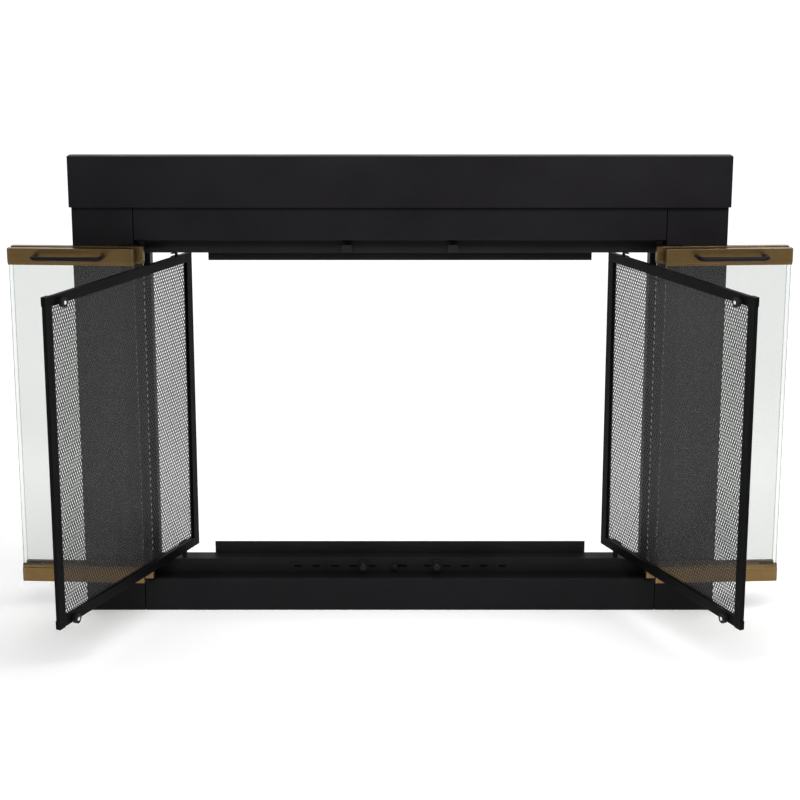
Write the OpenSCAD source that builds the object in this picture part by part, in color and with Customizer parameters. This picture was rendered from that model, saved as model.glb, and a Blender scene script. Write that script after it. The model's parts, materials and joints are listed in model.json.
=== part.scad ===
// Built-in fireplace door set: a steel surround with a hood, two pairs of folding
// glass doors on the front, two wire mesh gates behind them and a vent damper.
// Millimetres, +Z up, +X to the right, +Y into the fireplace.
// The origin is on the hearth, at the middle of the wall plane.

/* [View] */
// The sub-part to draw, or all of them

/* [Surround] */
// Overall width of the hood
frame_w = 1130; // [900:5:1300]
// Overall height
frame_h = 825; // [700:5:950]
// Height of the hood
hood_h = 88; // [60:1:120]
// How far the hood stands out from the wall
hood_depth = 26; // [18:1:60]
// Width of each stile's face
stile_w = 103.9; // [60:0.1:140]
// Height of the header's face
header_h = 59; // [40:1:90]
// Height of the bottom rail's face
sill_h = 60; // [40:1:90]
// How far the face stands out from the wall
face_depth = 12; // [8:1:25]
// Depth of the recess that the glass doors close into
recess_depth = 34; // [28:1:50]
// Thickness of the sheet steel
sheet = 2; // [1:0.5:3]
// Width of the lip at each side of the recess
jamb_lip = 25.6; // [15:0.1:40]
// Height of the lip under the header
header_lip_h = 28; // [15:1:40]
// Height of the vented riser above the bottom rail
riser_h = 25.6; // [18:0.1:40]

/* [Vents and damper] */
// Number of vent slots at each side of the damper knob
vents_per_side = 5; // [3:1:8]
// Spacing of the vent slots
vent_pitch = 33.8; // [25:0.1:45]
// Middle of the vent slot nearest the damper knob
vent_first = 50.4; // [35:0.1:60]
// Length of a vent slot
vent_l = 14.4; // [8:0.1:20]
// Height of a vent slot
vent_t = 4; // [3:0.5:8]
// Travel of the damper from closed to open
damper_travel = 18; // [10:1:22]

/* [Glass doors] */
// Thickness of a rail
rail_t = 12; // [10:1:16]
// Height of a rail
rail_h = 29; // [20:1:40]
// Thickness of the glass
glass_t = 5; // [4:1:6]
// Gap under a closed door, above the bottom rail
door_gap = 9; // [8:1:15]
// Height of a glass door
door_h = 601; // [500:1:700]
// Pivot axis, from the middle
pivot_x = 445.5; // [430:0.1:460]
// Pivot axis, in front of the surround's face
pivot_ahead = 5.1; // [0:0.1:8]
// Front face of the closed rails, in front of the surround's face
door_ahead = 1.8; // [0:0.1:4]
// Fold axis between the two panels of a pair, from the middle when closed
fold_x = 222.6; // [210:0.1:240]
// Free edge of a pair, from the middle when closed
door_free_x = 5; // [4:0.1:20]
// Angle that an open pair stands from closed
door_open_angle = 183; // [170:0.5:184]
// Distance between the two posts of a handle
handle_span = 116; // [90:1:160]
// How far a handle stands out
handle_reach = 31; // [25:1:50]

/* [Mesh gates] */
// Thickness of a gate's frame
gate_t = 8; // [6:0.5:14]
// Width of a gate's frame members
gate_member = 16; // [14:1:25]
// Bottom of a gate, above the hearth
gate_z = 98; // [90:1:110]
// Height of a gate
gate_h = 545; // [450:1:600]
// Outer edge of a gate, from the middle when closed
gate_outer_x = 431; // [400:1:440]
// Pivot axis of a gate, from the middle
gate_pivot_x = 392.3; // [385:0.1:400]
// Angle that an open gate stands from closed
gate_open_angle = 114.3; // [80:0.1:116]
// Travel of a gate's spring pin
spring_pin_travel = 4; // [3:0.5:4]

/* [Hidden] */
$fn = 40;
steel_black = [0.13, 0.13, 0.135];
steel_dark = [0.1, 0.1, 0.1];
brass = [0.6, 0.47, 0.27];
glass_tint = [0.78, 0.87, 0.83, 0.35];
zinc = [0.6, 0.6, 0.58];
face_y = -face_depth;
back_y = face_y + recess_depth;
stile_outer = frame_w / 2 - 1.5;
stile_inner = stile_outer - stile_w;
hood_z = frame_h - hood_h;
header_z = hood_z - header_h;
riser_top = sill_h + riser_h;
lip_z = header_z - header_lip_h;
jamb_x = stile_inner + sheet - jamb_lip;
// The glass doors, closed: front face of the rails, and the two ends of each panel
door_y = face_y - door_ahead;
door_back = door_y + rail_t;
door_z = sill_h + door_gap;
door_outer_x = pivot_x + 6.5;
panel_gap = 0.6;
pivot_y = face_y - pivot_ahead;
fold_y = door_back + 6;
pin_r = 3.5;
running = 0.05;
glass_grip = 20;
// The mesh gates, closed
gate_y = back_y + 12.9;
gate_back = gate_y + gate_t;
gate_pivot_y = gate_y;
gate_free_x = 1.5;
gate_top = gate_z + gate_h;
gate_pin_r = 2.5;
mesh_t = 1.2;
mesh_y = gate_y + 1.6;
mesh_grip = 4;
block_w = 21;
block_front = gate_pivot_y - 5;
pin_z = gate_top - 3.5 - spring_pin_travel;
magnet_l = 8;
magnet_x = gate_free_x + 40;
magnet_z = [gate_z + 4.5, gate_top - 14];
stop_y = gate_back + magnet_l + 0.4;
ledge_back = stop_y + sheet;
stop_half = 338;
// The damper
damper_rest_x = -9;
damper_z = 63;
damper_top = 80.5;
vent_z = 71;

// ---- helpers ----

// A box between two corners
module span(x0, x1, y0, y1, z0, z1) {
    translate([x0, y0, z0])
    cube([x1 - x0, y1 - y0, z1 - z0]);
}

// An upright cylinder
module post(x, y, z0, z1, r) {
    translate([x, y, z0])
    cylinder(h = z1 - z0, r = r);
}

// A cylinder along Y
module stud(x, z, y0, y1, r) {
    translate([x, y0, z])
    rotate([-90, 0, 0])
    cylinder(h = y1 - y0, r = r);
}

// Everything for one side is drawn at +X, and this puts it on the left
module on_left() {
    mirror([1, 0, 0])
    children();
}

// The same shape at both sides
module both_sides() {
    children();
    on_left()
    children();
}

// Turn about an upright axis
module turn(x, y, angle) {
    translate([x, y, 0])
    rotate([0, 0, angle])
    translate([-x, -y, 0])
    children();
}

// A closed outer panel of the right pair, swung to its open place
module outer_open() {
    turn(pivot_x, pivot_y, door_open_angle)
    children();
}

// A closed inner panel of the right pair, folded back and swung to its open place
module inner_open() {
    outer_open()
    turn(fold_x, fold_y, -180)
    children();
}

// A closed right gate, swung to its open place
module gate_open() {
    turn(gate_pivot_x, gate_pivot_y, gate_open_angle)
    children();
}

// ---- surround ----

// Hood: a folded sheet with closed ends, hollow behind
module hood() {
    half = frame_w / 2;
    color(steel_black)
    union() {
        span(-half, half, -hood_depth, -hood_depth + sheet, hood_z, frame_h);
        span(-half, half, -hood_depth, 0, frame_h - sheet, frame_h);
        span(-half, half, -hood_depth, face_y + sheet, hood_z, hood_z + sheet);
        both_sides()
        span(half - sheet, half, -hood_depth, 0, hood_z, frame_h);
    }
}

// Header: face, a return back to the lip and a flange under the hood
module header_rail() {
    color(steel_black)
    union() {
        span(-stile_inner, stile_inner, face_y, face_y + sheet, header_z, hood_z);
        span(-stile_inner, stile_inner, face_y, back_y, header_z, header_z + sheet);
        span(-stile_inner, stile_inner, face_y, 0, hood_z - sheet, hood_z);
    }
}

// Stile: face, outer return to the wall and inner return into the recess
module stile_shape() {
    span(stile_inner, stile_outer, face_y, face_y + sheet, 0, hood_z);
    span(stile_outer - sheet, stile_outer, face_y, 0, 0, hood_z);
    span(stile_inner, stile_inner + sheet, face_y, back_y, 0, hood_z);
}

module left_stile() {
    color(steel_black)
    on_left()
    stile_shape();
}

module right_stile() {
    color(steel_black)
    stile_shape();
}

// Bottom rail: face, a return back to the riser and a foot on the hearth
module bottom_rail() {
    color(steel_black)
    union() {
        span(-stile_inner, stile_inner, face_y, face_y + sheet, 0, sill_h);
        span(-stile_inner, stile_inner, face_y, back_y, sill_h - sheet, sill_h);
        span(-stile_inner, stile_inner, face_y, back_y, 0, sheet);
    }
}

// Jamb: the lip at the side of the recess, and its return into the fireplace
module jamb_shape() {
    span(jamb_x, stile_inner + sheet, back_y, back_y + sheet, riser_top, lip_z);
    span(jamb_x, jamb_x + sheet, back_y, ledge_back, riser_top, lip_z);
}

module left_jamb() {
    color(steel_dark)
    on_left()
    jamb_shape();
}

module right_jamb() {
    color(steel_dark)
    jamb_shape();
}

// Lip under the header, with a shelf that holds the tops of the gates
module header_lip() {
    half = stile_inner + sheet;
    color(steel_dark)
    difference() {
        union() {
            span(-half, half, back_y, back_y + sheet, lip_z, header_z + sheet);
            span(-half, half, back_y, ledge_back, lip_z, lip_z + sheet);
        }
        both_sides()
        post(gate_pivot_x, gate_pivot_y, lip_z - 1, lip_z + sheet + 1,
            gate_pin_r + running);
    }
}

// Middles of the vent slots
vents = [for (side = [-1, 1], i = [0 : vents_per_side - 1])
    side * (vent_first + i * vent_pitch)];

// One slot with round ends, cut through along Y
module slot_cut(x, z, length, height, y0, y1) {
    flat = (length - height) / 2;
    span(x - flat, x + flat, y0, y1, z - height / 2, z + height / 2);
    for (end = [-1, 1])
        stud(x + end * flat, z, y0, y1, height / 2);
}

// Riser with the vent slots and the damper's slot, and the ledge the gates stand on
module vent_riser() {
    half = stile_inner + sheet;
    color(steel_dark)
    difference() {
        union() {
            span(-half, half, back_y, back_y + sheet, sill_h - sheet, riser_top);
            span(-half, half, back_y, ledge_back, riser_top - sheet, riser_top);
        }
        for (x = vents)
            slot_cut(x, vent_z, vent_l, vent_t, back_y - 1, back_y + sheet + 1);
        slot_cut(0, vent_z, damper_travel + 8, 5.6, back_y - 1, back_y + sheet + 1);
        both_sides()
        post(gate_pivot_x, gate_pivot_y, riser_top - sheet - 1, riser_top + 1,
            gate_pin_r + running);
    }
}

// Steel strips that the gates' magnets close against
module upper_stop_plate() {
    color(steel_dark)
    span(-stop_half, stop_half, stop_y, ledge_back, lip_z - 19, lip_z);
}

module lower_stop_plate() {
    color(steel_dark)
    span(-stop_half, stop_half, stop_y, ledge_back, riser_top, riser_top + 22);
}

// Plates behind the four corners of the face
module corner_brackets() {
    plate_y = face_y + sheet;
    near = stile_inner;
    far = stile_inner + sheet;
    color(steel_dark)
    both_sides()
    for (z = [6, header_z + 6])
        union() {
            span(near - 44, near, plate_y, plate_y + 3, z, z + 40);
            span(near - 3, near, plate_y, plate_y + 16, z, z + 40);
            span(far, far + 44, plate_y, plate_y + 3, z, z + 40);
            span(far, far + 3, plate_y, plate_y + 16, z, z + 40);
        }
}

// Screws through the corner brackets, from behind
module frame_screws() {
    screw_y = face_y + sheet + 3;
    color(zinc)
    both_sides()
    for (z = [26, header_z + 26])
        for (x = [stile_inner - 30, stile_inner + 32])
            stud(x, z, screw_y, screw_y + 3, 4.5);
}

// Clamps that pull the surround against the lintel
module lintel_clamps() {
    color(zinc)
    both_sides()
    union() {
        span(285, 315, face_y + sheet, face_y + sheet + 3, header_z + 8, header_z + 44);
        span(285, 315, face_y + sheet, 62, header_z + 20, header_z + 23);
        post(300, 48, header_z + 15, header_z + 66, 4);
        post(300, 48, header_z + 58, header_z + 66, 11);
    }
}

// Feet that are bolted to the hearth, inside the fireplace
module anchor_brackets() {
    color(zinc)
    both_sides()
    difference() {
        union() {
            span(300, 340, 2, back_y + 3, sheet, sheet + 3);
            span(300, 340, back_y, 74, 0, 3);
        }
        post(320, 52, -1, 5, 4.5);
    }
}

// ---- damper ----

// Channels behind the riser that the damper slides in
module damper_guides() {
    y0 = back_y + sheet;
    z0 = sill_h;
    z1 = riser_top - sheet;
    color(steel_dark)
    both_sides()
    for (x = [30, 160])
        union() {
            span(x, x + 22, y0, y0 + 4, z0, damper_z - 0.3);
            span(x, x + 22, y0 + 2.5, y0 + 4, z0, damper_z + 3);
            span(x, x + 22, y0, y0 + 4, damper_top + 0.3, z1);
            span(x, x + 22, y0 + 2.5, y0 + 4, damper_top - 3, z1);
        }
}

// Slotted strip that covers or opens the vents
module damper_plate() {
    y0 = back_y + sheet + 0.3;
    color(steel_black)
    difference() {
        span(-212, 212, y0, y0 + 1.5, damper_z, damper_top);
        for (x = vents)
            slot_cut(x - damper_travel, vent_z, vent_l + 1, vent_t + 2, y0 - 1, y0 + 3);
        stud(damper_rest_x, vent_z, y0 - 1, y0 + 3, 2.5);
    }
}

// Knob of the damper, through the middle slot
module damper_knob() {
    y1 = back_y + sheet + 1.8;
    color(steel_dark)
    union() {
        stud(damper_rest_x, vent_z, back_y - 3, y1 + 1, 2.48);
        stud(damper_rest_x, vent_z, back_y - 7.5, back_y - 1, 5);
        stud(damper_rest_x, vent_z, y1, y1 + 1.5, 4);
    }
}

// Magnetic catches on short arms, that hold the closed glass doors
module top_catches() {
    color(steel_dark)
    both_sides()
    union() {
        span(84, 100, back_y - 3, back_y, 653, 669);
        span(88, 96, door_back + 2, back_y, 657, 665);
        span(84, 100, door_back + 0.4, door_back + 6, 655, 667);
    }
}

module bottom_catches() {
    color(steel_dark)
    both_sides()
    union() {
        stud(66.5, 76.5, door_back + 0.4, door_back + 7, 5.5);
        stud(66.5, 76.5, door_back + 5, back_y, 3.5);
        stud(66.5, 76.5, back_y - 3, back_y, 6.5);
    }
}

// ---- glass doors, drawn closed at +X ----

// Brackets on the surround with the holes that the pivot pins turn in
module pivot_bracket(z0, z1, boss0, boss1) {
    r = 6.2;
    difference() {
        union() {
            span(412, 452, face_y, 8, z0, z1);
            span(pivot_x - r, pivot_x + r, pivot_y, face_y + 1, z0, z1);
            post(pivot_x, pivot_y, boss0, boss1, r);
        }
        post(pivot_x, pivot_y, boss0 - 1, boss1 + 1, pin_r + running);
    }
}

module pivot_bracket_shape() {
    pivot_bracket(sill_h, sill_h + 3, sill_h, sill_h + 5.5);
    pivot_bracket(header_z - 3, header_z, header_z - 6, header_z);
}

module left_pivot_brackets() {
    color(steel_dark)
    on_left()
    pivot_bracket_shape();
}

module right_pivot_brackets() {
    color(steel_dark)
    pivot_bracket_shape();
}

// A pane that reaches into the rails at its top and bottom
module pane(x0, x1) {
    mid = door_y + rail_t / 2;
    span(x0, x1, mid - glass_t / 2, mid + glass_t / 2,
        door_z + rail_h - glass_grip, door_z + door_h - rail_h + glass_grip);
}

// A rail that grips the pane in a channel, with a narrower lip along the pane
module door_rail(x0, x1, z0) {
    lip = 4;
    low = z0 < door_z + 1 ? 0 : lip;
    difference() {
        union() {
            span(x0, x1, door_y, door_back, z0 + low, z0 + low + rail_h - lip);
            span(x0, x1, door_y + 2, door_back - 2, z0, z0 + rail_h);
        }
        pane(x0 - 1, x1 + 1);
    }
}

top_rail_z = door_z + door_h - rail_h;
outer_x0 = fold_x + panel_gap;
inner_x1 = fold_x - panel_gap;

module outer_glass_shape() {
    outer_open()
    pane(outer_x0 + 1, door_outer_x - 1);
}

module outer_rail_shape(z) {
    outer_open()
    door_rail(outer_x0, door_outer_x, z);
}

module inner_glass_shape() {
    inner_open()
    pane(door_free_x + 1, inner_x1 - 1);
}

module inner_rail_shape(z) {
    inner_open()
    door_rail(door_free_x, inner_x1, z);
}

// A plate along the end of the outer panel that reaches forward to the pivot axis
module pivot_arm(z0, z1) {
    r = 6.4;
    post(pivot_x, pivot_y, z0, z1, r);
    span(pivot_x - r, pivot_x + r, pivot_y, door_y + 2, z0, z1);
    span(pivot_x - 38, pivot_x + r, door_y + 2, door_back - 2, z0, z1);
}

// Arms under and over the outer panel, with the pins that it turns on
module pivot_arm_shape() {
    high = door_z + door_h;
    outer_open() {
        union() {
            pivot_arm(door_z - 2.5, door_z);
            post(pivot_x, pivot_y, sill_h + 0.5, door_z, pin_r);
        }
        union() {
            pivot_arm(high, high + 1.5);
            post(pivot_x, pivot_y, high, header_z - 0.5, pin_r);
        }
    }
}

// Heights of the two fold hinges
hinge_h = 24;
hinge_low = door_z + 2.5;
hinge_high = top_rail_z + 2.5;
barrel_r = 3.6;
fold_pin_r = 1.8;

// Leaves and outer knuckles of the fold hinges, with their pins
module outer_hinge_shape() {
    outer_open()
    for (z = [hinge_low, hinge_high])
        union() {
            span(fold_x + 7, fold_x + 27, door_back, door_back + 2, z, z + hinge_h);
            post(fold_x, fold_y, z, z + hinge_h, fold_pin_r);
            for (low = [z, z + 16.1])
                union() {
                    post(fold_x, fold_y, low, low + 7.9, barrel_r);
                    span(fold_x, fold_x + 10, door_back + 0.8, door_back + 3,
                        low, low + 7.9);
                }
        }
}

// Leaves and middle knuckles of the fold hinges
module inner_hinge_shape() {
    inner_open()
    for (z = [hinge_low, hinge_high])
        difference() {
            union() {
                span(fold_x - 27, fold_x - 7, door_back, door_back + 2, z, z + hinge_h);
                post(fold_x, fold_y, z + 8, z + 16, barrel_r);
                span(fold_x - 10, fold_x, door_back + 0.8, door_back + 3, z + 8, z + 16);
            }
            post(fold_x, fold_y, z - 1, z + 25, fold_pin_r + running);
        }
}

// Bar handle with bent ends
module handle_shape() {
    r = 3.6;
    bend = 9;
    mid_x = door_free_x + 109.5;
    z = top_rail_z + 17;
    inner_open()
    for (side = [0, 1])
        translate([mid_x, 0, z])
        mirror([side, 0, 0])
        union() {
            rotate([0, 90, 0])
            translate([0, door_y - handle_reach, 0])
            cylinder(h = handle_span / 2 - bend, r = r);
            translate([handle_span / 2 - bend, door_y - handle_reach + bend, 0])
            rotate([0, 0, -90])
            rotate_extrude(angle = 90)
            translate([bend, 0])
            circle(r = r);
            stud(handle_span / 2, 0, door_y - handle_reach + bend, door_y, r);
        }
}

module left_outer_glass() {
    color(glass_tint)
    on_left()
    outer_glass_shape();
}

module left_outer_top_rail() {
    color(brass)
    on_left()
    outer_rail_shape(top_rail_z);
}

module left_outer_bottom_rail() {
    color(brass)
    on_left()
    outer_rail_shape(door_z);
}

module left_pivot_arms() {
    color(zinc)
    on_left()
    pivot_arm_shape();
}

module left_outer_hinges() {
    color(steel_dark)
    on_left()
    outer_hinge_shape();
}

module left_inner_glass() {
    color(glass_tint)
    on_left()
    inner_glass_shape();
}

module left_inner_top_rail() {
    color(brass)
    on_left()
    inner_rail_shape(top_rail_z);
}

module left_inner_bottom_rail() {
    color(brass)
    on_left()
    inner_rail_shape(door_z);
}

module left_inner_hinges() {
    color(steel_dark)
    on_left()
    inner_hinge_shape();
}

module left_handle() {
    color(steel_black)
    on_left()
    handle_shape();
}

module right_outer_glass() {
    color(glass_tint)
    outer_glass_shape();
}

module right_outer_top_rail() {
    color(brass)
    outer_rail_shape(top_rail_z);
}

module right_outer_bottom_rail() {
    color(brass)
    outer_rail_shape(door_z);
}

module right_pivot_arms() {
    color(zinc)
    pivot_arm_shape();
}

module right_outer_hinges() {
    color(steel_dark)
    outer_hinge_shape();
}

module right_inner_glass() {
    color(glass_tint)
    inner_glass_shape();
}

module right_inner_top_rail() {
    color(brass)
    inner_rail_shape(top_rail_z);
}

module right_inner_bottom_rail() {
    color(brass)
    inner_rail_shape(door_z);
}

module right_inner_hinges() {
    color(steel_dark)
    inner_hinge_shape();
}

module right_handle() {
    color(steel_black)
    handle_shape();
}

// ---- mesh gates, drawn closed at +X ----

// The sheet of wire mesh, let into the frame on all sides
module mesh_shape() {
    reach = gate_member - mesh_grip;
    span(gate_free_x + reach, gate_outer_x - reach, mesh_y - mesh_t / 2,
        mesh_y + mesh_t / 2, gate_z + reach, gate_top - reach);
}

// Top and bottom members, with the groove that holds the mesh
module gate_rail_shape() {
    gate_open()
    difference() {
        for (z = [gate_z, gate_top - gate_member])
            span(gate_free_x + gate_member, gate_outer_x - gate_member, gate_y,
                gate_back, z, z + gate_member);
        mesh_shape();
        for (z = [gate_z, gate_top])
            post(gate_pivot_x, gate_pivot_y, z - 15, z + 15, gate_pin_r + 0.6);
    }
}

// Upright members, with a shallow groove down the outer edges
module gate_stile_shape() {
    mid = gate_y + gate_t / 2;
    gate_open()
    difference() {
        for (x = [gate_free_x, gate_outer_x - gate_member])
            span(x, x + gate_member, gate_y, gate_back, gate_z, gate_top);
        for (x = [gate_free_x - 1, gate_outer_x - 1])
            span(x, x + 2, mid - 0.7, mid + 0.7, gate_z - 1, gate_top + 1);
        mesh_shape();
    }
}

// Thin caps round the ends of the two free corners
module gate_cap_shape() {
    proud = 1.1;
    gate_open()
    difference() {
        for (z = [gate_z - proud, gate_top + proud - 15])
            span(gate_free_x - proud, gate_free_x + 14, gate_y - 0.4, gate_back + 0.4,
                z, z + 15);
        span(gate_free_x, gate_outer_x, gate_y - 1, gate_back + 1, gate_z, gate_top);
    }
}

// Magnets in cups, on the back near the free corners
module gate_magnet_shape() {
    gate_open()
    for (z = magnet_z)
        difference() {
            stud(magnet_x, z, gate_back, gate_back + magnet_l - 0.6, 8);
            stud(magnet_x, z, gate_back + 1, gate_back + magnet_l, 3.2);
        }
}

// Bright steel centres of the magnets
module gate_magnet_core_shape() {
    gate_open()
    for (z = magnet_z)
        stud(magnet_x, z, gate_back + 1, gate_back + magnet_l, 3.2);
}

// Blocks on the front of the gate that carry the two pins, and the fixed bottom pin
module gate_block_shape() {
    half = block_w / 2;
    gate_open() {
        union() {
            span(gate_pivot_x - half, gate_pivot_x + half, block_front, gate_y,
                gate_z, gate_z + gate_member);
            post(gate_pivot_x, gate_pivot_y, riser_top - sheet - 1, gate_z + 11,
                gate_pin_r);
            post(gate_pivot_x, gate_pivot_y, riser_top + 0.4, gate_z, 4.5);
        }
        difference() {
            span(gate_pivot_x - half, gate_pivot_x + half, block_front, gate_y,
                gate_top - gate_member, gate_top);
            post(gate_pivot_x, gate_pivot_y, pin_z - spring_pin_travel - 0.3,
                gate_top + 1, gate_pin_r + running);
        }
    }
}

// Sprung top pin with an ear for the finger
module gate_spring_pin_shape() {
    gate_open()
    union() {
        post(gate_pivot_x, gate_pivot_y, pin_z, lip_z + sheet + 1.5, gate_pin_r);
        span(gate_pivot_x - 14, gate_pivot_x + 3.5, gate_pivot_y - 2.5,
            gate_pivot_y + 2.5, lip_z - 2.4, lip_z - 1);
    }
}

module left_gate_rails() {
    color(steel_black)
    on_left()
    gate_rail_shape();
}

module left_gate_stiles() {
    color(steel_black)
    on_left()
    gate_stile_shape();
}

module left_gate_mesh() {
    color(steel_dark)
    on_left()
    gate_open()
    mesh_shape();
}

module left_gate_caps() {
    color(steel_black)
    on_left()
    gate_cap_shape();
}

module left_gate_magnets() {
    color(steel_dark)
    on_left()
    gate_magnet_shape();
}

module left_gate_magnet_cores() {
    color(zinc)
    on_left()
    gate_magnet_core_shape();
}

module left_gate_pivot_blocks() {
    color(steel_dark)
    on_left()
    gate_block_shape();
}

module left_gate_spring_pin() {
    color(steel_dark)
    on_left()
    gate_spring_pin_shape();
}

module right_gate_rails() {
    color(steel_black)
    gate_rail_shape();
}

module right_gate_stiles() {
    color(steel_black)
    gate_stile_shape();
}

module right_gate_mesh() {
    color(steel_dark)
    gate_open()
    mesh_shape();
}

module right_gate_caps() {
    color(steel_black)
    gate_cap_shape();
}

module right_gate_magnets() {
    color(steel_dark)
    gate_magnet_shape();
}

module right_gate_magnet_cores() {
    color(zinc)
    gate_magnet_core_shape();
}

module right_gate_pivot_blocks() {
    color(steel_dark)
    gate_block_shape();
}

module right_gate_spring_pin() {
    color(steel_dark)
    gate_spring_pin_shape();
}

hood();
header_rail();
left_stile();
right_stile();
bottom_rail();
left_jamb();
right_jamb();
header_lip();
vent_riser();
upper_stop_plate();
lower_stop_plate();
corner_brackets();
frame_screws();
lintel_clamps();
anchor_brackets();
damper_guides();
damper_plate();
damper_knob();
top_catches();
bottom_catches();
left_pivot_brackets();
right_pivot_brackets();
left_outer_glass();
left_outer_top_rail();
left_outer_bottom_rail();
left_pivot_arms();
left_outer_hinges();
left_inner_glass();
left_inner_top_rail();
left_inner_bottom_rail();
left_inner_hinges();
left_handle();
right_outer_glass();
right_outer_top_rail();
right_outer_bottom_rail();
right_pivot_arms();
right_outer_hinges();
right_inner_glass();
right_inner_top_rail();
right_inner_bottom_rail();
right_inner_hinges();
right_handle();
left_gate_rails();
left_gate_stiles();
left_gate_mesh();
left_gate_caps();
left_gate_magnets();
left_gate_magnet_cores();
left_gate_pivot_blocks();
left_gate_spring_pin();
right_gate_rails();
right_gate_stiles();
right_gate_mesh();
right_gate_caps();
right_gate_magnets();
right_gate_magnet_cores();
right_gate_pivot_blocks();
right_gate_spring_pin();
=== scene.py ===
import json
import math

import bmesh
import bpy
from mathutils import Matrix, Vector


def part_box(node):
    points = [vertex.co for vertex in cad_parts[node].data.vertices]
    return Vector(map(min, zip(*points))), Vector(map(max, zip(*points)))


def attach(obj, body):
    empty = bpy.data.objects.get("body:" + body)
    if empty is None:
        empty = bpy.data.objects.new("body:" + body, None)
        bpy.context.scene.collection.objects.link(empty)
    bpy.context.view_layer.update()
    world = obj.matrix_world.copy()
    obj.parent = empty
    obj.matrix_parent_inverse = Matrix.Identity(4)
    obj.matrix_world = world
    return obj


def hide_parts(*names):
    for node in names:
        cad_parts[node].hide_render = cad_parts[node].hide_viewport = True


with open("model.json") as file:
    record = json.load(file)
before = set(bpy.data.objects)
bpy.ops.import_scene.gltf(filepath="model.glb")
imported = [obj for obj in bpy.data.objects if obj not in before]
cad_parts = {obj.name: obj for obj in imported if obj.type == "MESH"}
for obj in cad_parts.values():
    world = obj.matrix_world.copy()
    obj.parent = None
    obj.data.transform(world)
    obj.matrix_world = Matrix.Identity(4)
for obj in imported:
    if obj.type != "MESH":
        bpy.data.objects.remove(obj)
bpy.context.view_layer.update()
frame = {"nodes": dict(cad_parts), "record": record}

NODES = frame["nodes"]
BODIES = frame["record"]["behaviour"]["bodies"]
BODY_OF = {node: body for body, members in BODIES.items() for node in members}
SLOT_OF = {s["node"]: s["material_slot"] for s in frame["record"]["subparts"]}
SIDES = ("left", "right")
MM = 0.001


# ---------------------------------------------------------------- materials

def new_material(name):
    mat = bpy.data.materials.new(name)
    mat.use_nodes = True
    tree = mat.node_tree
    bsdf = next(n for n in tree.nodes if n.type == "BSDF_PRINCIPLED")
    return mat, tree, bsdf


def add(tree, kind, **inputs):
    node = tree.nodes.new(kind)
    for key, value in inputs.items():
        node.inputs[key.replace("_", " ")].default_value = value
    return node


def object_coords(tree, scale=(1, 1, 1)):
    """Object coordinates, stretched by scale."""
    coord = tree.nodes.new("ShaderNodeTexCoord")
    mapping = tree.nodes.new("ShaderNodeMapping")
    mapping.inputs["Scale"].default_value = scale
    tree.links.new(coord.outputs["Object"], mapping.inputs["Vector"])
    return mapping.outputs["Vector"]


def noise(tree, vector, scale, detail=3.0, rough=0.5):
    node = add(tree, "ShaderNodeTexNoise", Scale=scale, Detail=detail, Roughness=rough)
    tree.links.new(vector, node.inputs["Vector"])
    return node.outputs["Fac"]


def remap(tree, value, low, high, start=0.3, end=0.7):
    node = tree.nodes.new("ShaderNodeMapRange")
    node.inputs["From Min"].default_value = start
    node.inputs["From Max"].default_value = end
    node.inputs["To Min"].default_value = low
    node.inputs["To Max"].default_value = high
    tree.links.new(value, node.inputs["Value"])
    return node.outputs["Result"]


def mix_colours(tree, factor, first, second):
    node = tree.nodes.new("ShaderNodeMix")
    node.data_type = "RGBA"
    tree.links.new(factor, node.inputs["Factor"])
    for socket, value in ((node.inputs[6], first), (node.inputs[7], second)):
        if hasattr(value, "is_output"):
            tree.links.new(value, socket)
        else:
            socket.default_value = (*value, 1.0)
    return node.outputs[2]


def bump(tree, bsdf, height, strength, distance):
    node = add(tree, "ShaderNodeBump", Strength=strength, Distance=distance)
    tree.links.new(height, node.inputs["Height"])
    tree.links.new(node.outputs["Normal"], bsdf.inputs["Normal"])


def powder_coat(name, dark, light, rough, specular, grain=0.12):
    """Fine-grained black coating: a cloudy tone, a fine orange-peel bump and a few specks."""
    mat, tree, bsdf = new_material(name)
    vector = object_coords(tree)
    cloud = noise(tree, vector, 9.0, 4.0)
    speck = noise(tree, vector, 650.0, 2.0)
    tone = mix_colours(tree, remap(tree, cloud, 0.0, 1.0), dark, light)
    lighter = tuple(1.6 * c + 0.002 for c in light)
    tone = mix_colours(tree, remap(tree, speck, 0.0, 0.55, 0.60, 0.72), tone, lighter)
    tree.links.new(tone, bsdf.inputs["Base Color"])
    tree.links.new(remap(tree, cloud, rough - 0.05, rough + 0.06), bsdf.inputs["Roughness"])
    bsdf.inputs["Specular IOR Level"].default_value = specular
    peel = noise(tree, vector, 900.0, 2.0, 0.6)
    bump(tree, bsdf, peel, grain, 0.0004)
    return mat


def brushed_brass(name, dark, light, rough):
    """Antiqued brass: streaks along the rail, brown clouds and tiny pits."""
    mat, tree, bsdf = new_material(name)
    streak = noise(tree, object_coords(tree, (4.0, 900.0, 900.0)), 1.0, 4.0, 0.6)
    cloud = noise(tree, object_coords(tree), 22.0, 5.0, 0.6)
    tone = mix_colours(tree, remap(tree, cloud, 0.0, 1.0, 0.35, 0.68), dark, light)
    streaked = tuple(1.25 * c for c in light)
    tone = mix_colours(tree, remap(tree, streak, 0.0, 0.5, 0.4, 0.75), tone, streaked)
    tree.links.new(tone, bsdf.inputs["Base Color"])
    bsdf.inputs["Metallic"].default_value = 1.0
    tree.links.new(remap(tree, cloud, rough + 0.06, rough - 0.04), bsdf.inputs["Roughness"])
    bump(tree, bsdf, streak, 0.12, 0.0002)
    return mat


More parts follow.
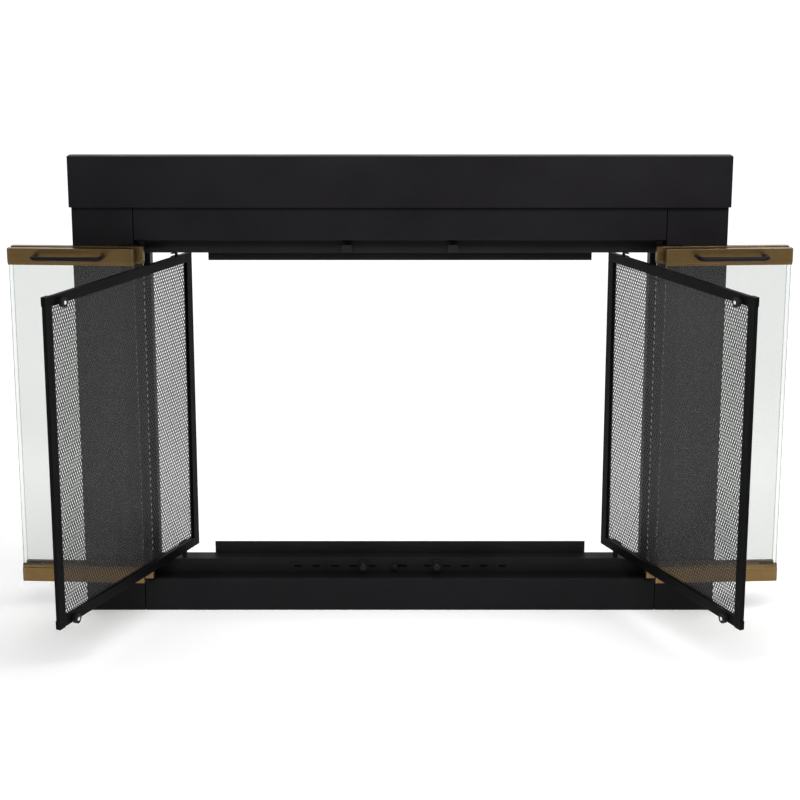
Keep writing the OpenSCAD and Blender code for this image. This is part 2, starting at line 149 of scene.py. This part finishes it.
def turned_steel(name, dark, light, rough, scale=260.0):
    """Zinc-plated steel: a fine spangle and light scuffs."""
    mat, tree, bsdf = new_material(name)
    vector = object_coords(tree)
    spangle = noise(tree, vector, scale, 3.0)
    scuff = noise(tree, vector, 40.0, 5.0, 0.65)
    tone = mix_colours(tree, remap(tree, spangle, 0.0, 1.0, 0.35, 0.65), dark, light)
    tree.links.new(tone, bsdf.inputs["Base Color"])
    bsdf.inputs["Metallic"].default_value = 1.0
    tree.links.new(remap(tree, scuff, rough - 0.08, rough + 0.10), bsdf.inputs["Roughness"])
    bump(tree, bsdf, spangle, 0.10, 0.0002)
    return mat


def clear_glass(name, tint, rough, painted_glow):
    """Tempered glass with smudges that vary its roughness, and a faint white glow in the same
    pattern: painted light for the studio light that smudges would catch.
    """
    mat, tree, bsdf = new_material(name)
    smudge_and_glow = noise(tree, object_coords(tree, (1.0, 1.0, 0.35)), 14.0, 4.0, 0.6)
    bsdf.inputs["Base Color"].default_value = (*tint, 1.0)
    bsdf.inputs["Transmission Weight"].default_value = 1.0
    bsdf.inputs["IOR"].default_value = 1.2
    # Painted light: a faint white emission, patchy in the smudge pattern, stands in for light
    # caught on the glass.
    bsdf.inputs["Emission Color"].default_value = (1.0, 1.0, 1.0, 1.0)
    tree.links.new(remap(tree, smudge_and_glow, 0.85 * painted_glow, 1.15 * painted_glow), bsdf.inputs["Emission Strength"])
    tree.links.new(remap(tree, smudge_and_glow, rough, rough + 0.03, 0.45, 0.8), bsdf.inputs["Roughness"])
    return mat


# Each lighter edge coat goes on the rounded edges of its face coat as a painted highlight. The
# glass edge is the ground edge's own green tint.
MATS = {
    "black_steel": powder_coat("black powder coat", (0.0052, 0.0045, 0.0055),
                               (0.0068, 0.0060, 0.0072), 0.44, 0.10),
    "black_edge_highlight": powder_coat("black powder coat, painted edge highlight", (0.0070, 0.0064, 0.0074),
                              (0.0100, 0.0092, 0.0104), 0.40, 0.16, 0.05),
    # The gate coat is the gates' own darker coat. It is also used as painted shade in the rail
    # joints and behind the vent slots.
    "gate_steel": powder_coat("black gate coat and painted shade", (0.0020, 0.0018, 0.0021),
                              (0.0030, 0.0027, 0.0032), 0.48, 0.05),
    "gate_edge_highlight": powder_coat("black gate edge, painted highlight", (0.0050, 0.0046, 0.0053),
                             (0.0070, 0.0065, 0.0074), 0.42, 0.10, 0.05),
    "recess_steel": powder_coat("matte black inside", (0.0062, 0.0060, 0.0062),
                                (0.0098, 0.0095, 0.0098), 0.55, 0.12),
    "recess_edge_highlight": powder_coat("matte black inside, painted edge highlight", (0.012, 0.012, 0.012),
                               (0.018, 0.018, 0.018), 0.48, 0.2, 0.05),
    "black_mesh": powder_coat("black wire", (0.010, 0.010, 0.0105),
                              (0.020, 0.020, 0.021), 0.40, 0.3, 0.05),
    "antique_brass": brushed_brass("antique brass", (0.172, 0.109, 0.044),
                                   (0.215, 0.139, 0.057), 0.34),
    "brass_edge_highlight": brushed_brass("antique brass, painted edge highlight", (0.30, 0.21, 0.105),
                                (0.42, 0.30, 0.16), 0.28),
    "zinc_steel": turned_steel("zinc-plated steel", (0.25, 0.25, 0.24),
                               (0.46, 0.46, 0.44), 0.34),
    "magnet": turned_steel("bright steel", (0.62, 0.62, 0.62), (0.80, 0.80, 0.78), 0.2),
    "clear_glass": clear_glass("clear tempered glass", (0.825, 0.838, 0.827), 0.0, 0.0075),
    "glass_edge": clear_glass("glass edge", (0.16, 0.26, 0.21), 0.12, 0.0075),
}
EDGE_OF = {"black_steel": "black_edge_highlight", "gate_steel": "gate_edge_highlight", "recess_steel": "recess_edge_highlight",
           "antique_brass": "brass_edge_highlight", "clear_glass": "glass_edge",
           "zinc_steel": "zinc_steel", "magnet": "magnet", "black_mesh": "black_mesh"}


# ------------------------------------------------------------------ pieces

# Material places on every refined piece: face coat, lighter edge coat (a painted highlight; on a
# pane, its ground edge) and the darkest coat, painted shade in joints.
FACE, EDGE, JOINT_SHADE = 0, 1, 2
BEVEL_FROM = math.radians(38)
FLAT_WITHIN = math.radians(0.5)
SAME_PLACE = 0.01 * MM


def link(name, mesh, body, stands_for=()):
    piece = bpy.data.objects.new(name, mesh)
    bpy.context.scene.collection.objects.link(piece)
    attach(piece, body)
    if stands_for:
        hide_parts(*stands_for)
    return piece


def apply_modifiers(piece):
    graph = bpy.context.evaluated_depsgraph_get()
    mesh = bpy.data.meshes.new_from_object(piece.evaluated_get(graph))
    piece.modifiers.clear()
    piece.data = mesh


def long_way(bm):
    """Direction of the longest edge, and where the shape starts and ends along it."""
    edge = max(bm.edges, key=lambda e: e.calc_length())
    along = (edge.verts[1].co - edge.verts[0].co).normalized()
    places = [v.co.dot(along) for v in bm.verts]
    return along, min(places), max(places)


def cut_end_seams(bm, inset=3.2 * MM, half=0.45 * MM):
    """A fine groove round a rail near each end, where its end caps meet it."""
    along, start, end = long_way(bm)
    for place in (start + inset, end - inset):
        for offset in (-half, 0.0, half):
            bmesh.ops.bisect_plane(bm, geom=bm.verts[:] + bm.edges[:] + bm.faces[:],
                                   plane_co=along * (place + offset), plane_no=along)
        ring = [v for v in bm.verts if abs(v.co.dot(along) - place) < 1e-6]
        middle = sum((v.co for v in ring), Vector()) / len(ring)
        for v in ring:
            inward = middle - v.co
            v.co += Vector([math.copysign(min(abs(c), half), c) for c in inward])


def slant_ends(bm, back=1.8 * MM):
    """Slants a long sheet's ends in towards its front and gives the slanted faces the darkest
    coat: painted shade, so that the joints read as dark lines.
    """
    ends = max(v.co.x for v in bm.verts)
    front = min(v.co.y for v in bm.verts)
    corners = [v for v in bm.verts
               if abs(abs(v.co.x) - ends) < SAME_PLACE and v.co.y - front < SAME_PLACE]
    for v in corners:
        v.co.x -= math.copysign(back, v.co.x)
    bm.normal_update()
    for face in {f for v in corners for f in v.link_faces if abs(f.normal.x) > 0.3}:
        face.material_index = JOINT_SHADE


def ground_edges(bm):
    """A pane's narrow faces are ground, and look darker than its wide ones."""
    wide = max(bm.faces, key=lambda f: f.calc_area()).normal.copy()
    for face in bm.faces:
        if abs(face.normal.dot(wide)) < 0.5:
            face.material_index = EDGE


def refine(node, edge, slot=None, change=None, even=False):
    """A node's own shape again, with its edges rounded and given a lighter coat: a painted
    highlight.
    slot: another coat than the node's own. change: what is done to the shape first.
    even: keeps the wide faces of a grooved piece flat."""
    slot = slot or SLOT_OF[node]
    bm = bmesh.new()
    bm.from_mesh(NODES[node].data)
    bmesh.ops.remove_doubles(bm, verts=bm.verts, dist=1e-6)
    bmesh.ops.dissolve_limit(bm, angle_limit=FLAT_WITHIN, verts=bm.verts, edges=bm.edges)
    for face in bm.faces:
        face.material_index = FACE
        face.smooth = True
    if change:
        change(bm)
    mesh = bpy.data.meshes.new(node + "_finish")
    bm.to_mesh(mesh)
    bm.free()
    if mesh.has_custom_normals:
        mesh.attributes.remove(mesh.attributes["custom_normal"])
    mesh.materials.append(MATS[slot])
    mesh.materials.append(MATS[EDGE_OF[slot]])
    # Third place: the darkest coat, used as painted shade in the rail joints.
    mesh.materials.append(MATS["gate_steel"])
    piece = link(node + "_finish", mesh, BODY_OF[node], [node])
    bevel = piece.modifiers.new("edge", "BEVEL")
    bevel.width = edge
    bevel.segments = 2
    bevel.limit_method = "ANGLE"
    bevel.angle_limit = BEVEL_FROM
    # The bevel faces take the lighter edge coat, a painted highlight.
    bevel.material = EDGE
    bevel.use_clamp_overlap = True
    bevel.harden_normals = True
    if even:
        flat = piece.modifiers.new("flat", "WEIGHTED_NORMAL")
        flat.mode = "FACE_AREA"
        flat.weight = 50
    apply_modifiers(piece)
    return piece


for sheet_node in ("hood", "left_stile", "right_stile"):
    refine(sheet_node, 0.6 * MM)
for rail_node in ("header_rail", "bottom_rail"):
    refine(rail_node, 0.6 * MM, change=slant_ends)
for recess_node in ("header_lip", "upper_stop_plate", "lower_stop_plate", "corner_brackets",
                    "top_catches", "damper_guides"):
    refine(recess_node, 0.5 * MM)
refine("vent_riser", 0.35 * MM)
# The damper plate behind the vent slots takes the darkest gate coat: painted shade, so that the
# slots read dark.
refine("damper_plate", 0.3 * MM, slot="gate_steel")
for small_node in ("bottom_catches", "damper_knob", "frame_screws", "lintel_clamps",
                   "anchor_brackets"):
    refine(small_node, 0.5 * MM)

for side in SIDES:
    refine(f"{side}_jamb", 0.5 * MM, slot="gate_steel")
    refine(f"{side}_pivot_brackets", 0.4 * MM, slot="gate_steel")
    for panel in ("outer", "inner"):
        for place in ("top", "bottom"):
            refine(f"{side}_{panel}_{place}_rail", 0.7 * MM, change=cut_end_seams, even=True)
        pane = refine(f"{side}_{panel}_glass", 0.35 * MM, change=ground_edges)
        pane.visible_shadow = False
        pane.visible_diffuse = False
        refine(f"{side}_{panel}_hinges", 0.3 * MM)
    refine(f"{side}_pivot_arms", 0.4 * MM, slot="gate_steel")
    refine(f"{side}_handle", 0.3 * MM)
    refine(f"{side}_gate_rails", 0.5 * MM, slot="gate_steel")
    refine(f"{side}_gate_stiles", 0.5 * MM, slot="gate_steel")
    refine(f"{side}_gate_caps", 0.3 * MM, slot="gate_steel")
    refine(f"{side}_gate_magnets", 0.6 * MM)
    refine(f"{side}_gate_magnet_cores", 0.3 * MM)
    refine(f"{side}_gate_pivot_blocks", 0.5 * MM)
    refine(f"{side}_gate_spring_pin", 0.3 * MM)


# --------------------------------------------------------------- wire mesh

STRAND_PITCH = 5.8 * MM
STRAND_RISE = 11.6 * MM
STRAND_WIDE = 1.15 * MM
STRAND_THICK = 0.9 * MM
STRAND_LAP = 0.12 * MM


def upright_sheet(node):
    """Corner, direction along, width, bottom and top of an upright flat sheet."""
    corners = {(round(v.co.x, 6), round(v.co.y, 6)) for v in NODES[node].data.vertices}
    corners = [Vector(c) for c in corners]
    start = corners[0]
    far = sorted(corners, key=lambda c: (c - start).length)
    middle_a = (far[0] + far[1]) / 2
    middle_b = (far[2] + far[3]) / 2
    along = middle_b - middle_a
    low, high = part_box(node)
    return middle_a, along.normalized(), along.length, low[2], high[2]


def add_bar(bm, start, end, normal, wide, thick):
    """A flat bar from start to end."""
    run = (end - start).normalized()
    across = run.cross(normal).normalized() * wide / 2
    deep = normal * thick / 2
    ring = [across + deep, -across + deep, -across - deep, across - deep]
    first = [bm.verts.new(start + o) for o in ring]
    last = [bm.verts.new(end + o) for o in ring]
    for i in range(4):
        j = (i + 1) % 4
        bm.faces.new((first[i], first[j], last[j], last[i]))


def diamond_mesh(side):
    """Two layers of leaning strands that cross into diamonds."""
    node = f"{side}_gate_mesh"
    origin, along, width, low, high = upright_sheet(node)
    normal = Vector((along.y, -along.x, 0)).normalized()
    height = high - low
    slope = STRAND_RISE / STRAND_PITCH
    bm = bmesh.new()

    def at(u, w):
        return Vector((origin.x + along.x * u, origin.y + along.y * u, low + w))

    reach = height / slope
    count = int((width + reach) / STRAND_PITCH) + 1
    for lean in (1, -1):
        offset = normal * (STRAND_LAP * lean)
        for k in range(count):
            u0 = k * STRAND_PITCH - reach
            start_u = max(0.0, u0)
            end_u = min(width, u0 + reach)
            if end_u - start_u < STRAND_PITCH / 2:
                continue
            w0 = (start_u - u0) * slope
            w1 = (end_u - u0) * slope
            if lean < 0:
                start_u, end_u = width - start_u, width - end_u
            add_bar(bm, at(start_u, w0) + offset, at(end_u, w1) + offset, normal,
                    STRAND_WIDE, STRAND_THICK)
    bmesh.ops.recalc_face_normals(bm, faces=bm.faces)
    mesh = bpy.data.meshes.new(node + "_strands")
    bm.to_mesh(mesh)
    bm.free()
    mesh.materials.append(MATS["black_mesh"])
    strands = link(node + "_strands", mesh, f"{side}_gate", [node])
    strands.visible_glossy = False


for side in SIDES:
    diamond_mesh(side)


# ------------------------------------------------------------ stage, camera

# The floor glows a little in front of the object and more behind it, so that it
# reads white through the opening and stays dim where the brass and glass mirror it.
GLOW_AHEAD = 0.2
GLOW_BEHIND = 0.56
RISE_FROM, RISE_TO = -0.2, 0.8
# The floor runs flat past the object, then curves up into a wall.
FLOOR_REACH = 9.0
CURVE_START = 3.0
CURVE_RADIUS = 2.0
CURVE_STEPS = 12


def stage():
    """A pale floor that curves up far behind."""
    profile = [(-FLOOR_REACH, 0.0), (CURVE_START, 0.0)]
    for k in range(1, CURVE_STEPS + 1):
        turn = math.radians(90 * k / CURVE_STEPS)
        profile.append((CURVE_START + CURVE_RADIUS * math.sin(turn),
                        CURVE_RADIUS * (1 - math.cos(turn))))
    profile.append((CURVE_START + CURVE_RADIUS, FLOOR_REACH))
    bm = bmesh.new()
    rows = [[bm.verts.new((x, y, z)) for x in (-FLOOR_REACH, FLOOR_REACH)] for y, z in profile]
    for lower, upper in zip(rows, rows[1:]):
        bm.faces.new((lower[0], lower[1], upper[1], upper[0]))
    mesh = bpy.data.meshes.new("floor")
    bm.to_mesh(mesh)
    bm.free()
    for face in mesh.polygons:
        face.use_smooth = True
    mat, tree, bsdf = new_material("pale floor")
    bsdf.inputs["Base Color"].default_value = (0.93, 0.93, 0.93, 1.0)
    bsdf.inputs["Roughness"].default_value = 0.8
    bsdf.inputs["Specular IOR Level"].default_value = 0.1
    bsdf.inputs["Emission Color"].default_value = (1.0, 1.0, 1.0, 1.0)
    apart = tree.nodes.new("ShaderNodeSeparateXYZ")
    tree.links.new(object_coords(tree), apart.inputs["Vector"])
    glow = remap(tree, apart.outputs["Y"], GLOW_AHEAD, GLOW_BEHIND, RISE_FROM, RISE_TO)
    tree.links.new(glow, bsdf.inputs["Emission Strength"])
    mesh.materials.append(mat)
    floor = bpy.data.objects.new("floor", mesh)
    bpy.context.scene.collection.objects.link(floor)


def area_light(name, place, target, size, power):
    light = bpy.data.lights.new(name, "AREA")
    light.shape = "RECTANGLE"
    light.size, light.size_y = size
    light.energy = power
    lamp = bpy.data.objects.new(name, light)
    lamp.location = place
    lamp.rotation_euler = (Vector(target) - Vector(place)).to_track_quat("-Z", "Y").to_euler()
    lamp.visible_camera = False
    bpy.context.scene.collection.objects.link(lamp)


stage()
area_light("overhead", (0.0, -0.2, 3.2), (0.0, 0.2, 0.3), (4.0, 3.0), 20.0)
area_light("hood strip", (0.35, -1.1, 1.32), (0.0, 0.0, 0.74), (2.2, 0.25), 26.0)
world = bpy.data.worlds.new("studio")
world.use_nodes = True
world.node_tree.nodes["Background"].inputs["Color"].default_value = (1.0, 1.0, 1.0, 1.0)
world.node_tree.nodes["Background"].inputs["Strength"].default_value = 0.24
bpy.context.scene.world = world
bpy.context.scene.view_settings.view_transform = "Standard"

# The camera stands 1.175 m high and 2.79 m in front of the face, and looks down a
# little. The lens shift keeps the uprights nearer to parallel than the pitch alone would.
CAMERA_BACK = 2.802
CAMERA_HEIGHT = 1.175
CAMERA_DOWN = math.radians(12.04)
camera_data = bpy.data.cameras.new("camera")
camera_data.sensor_width = 36.0
camera_data.lens = 74.09
camera_data.shift_y = -0.13
camera = bpy.data.objects.new("camera", camera_data)
camera.location = (0.0, -CAMERA_BACK, CAMERA_HEIGHT)
camera.rotation_euler = (math.radians(90) - CAMERA_DOWN, 0.0, 0.0)
bpy.context.scene.collection.objects.link(camera)
bpy.context.scene.camera = camera
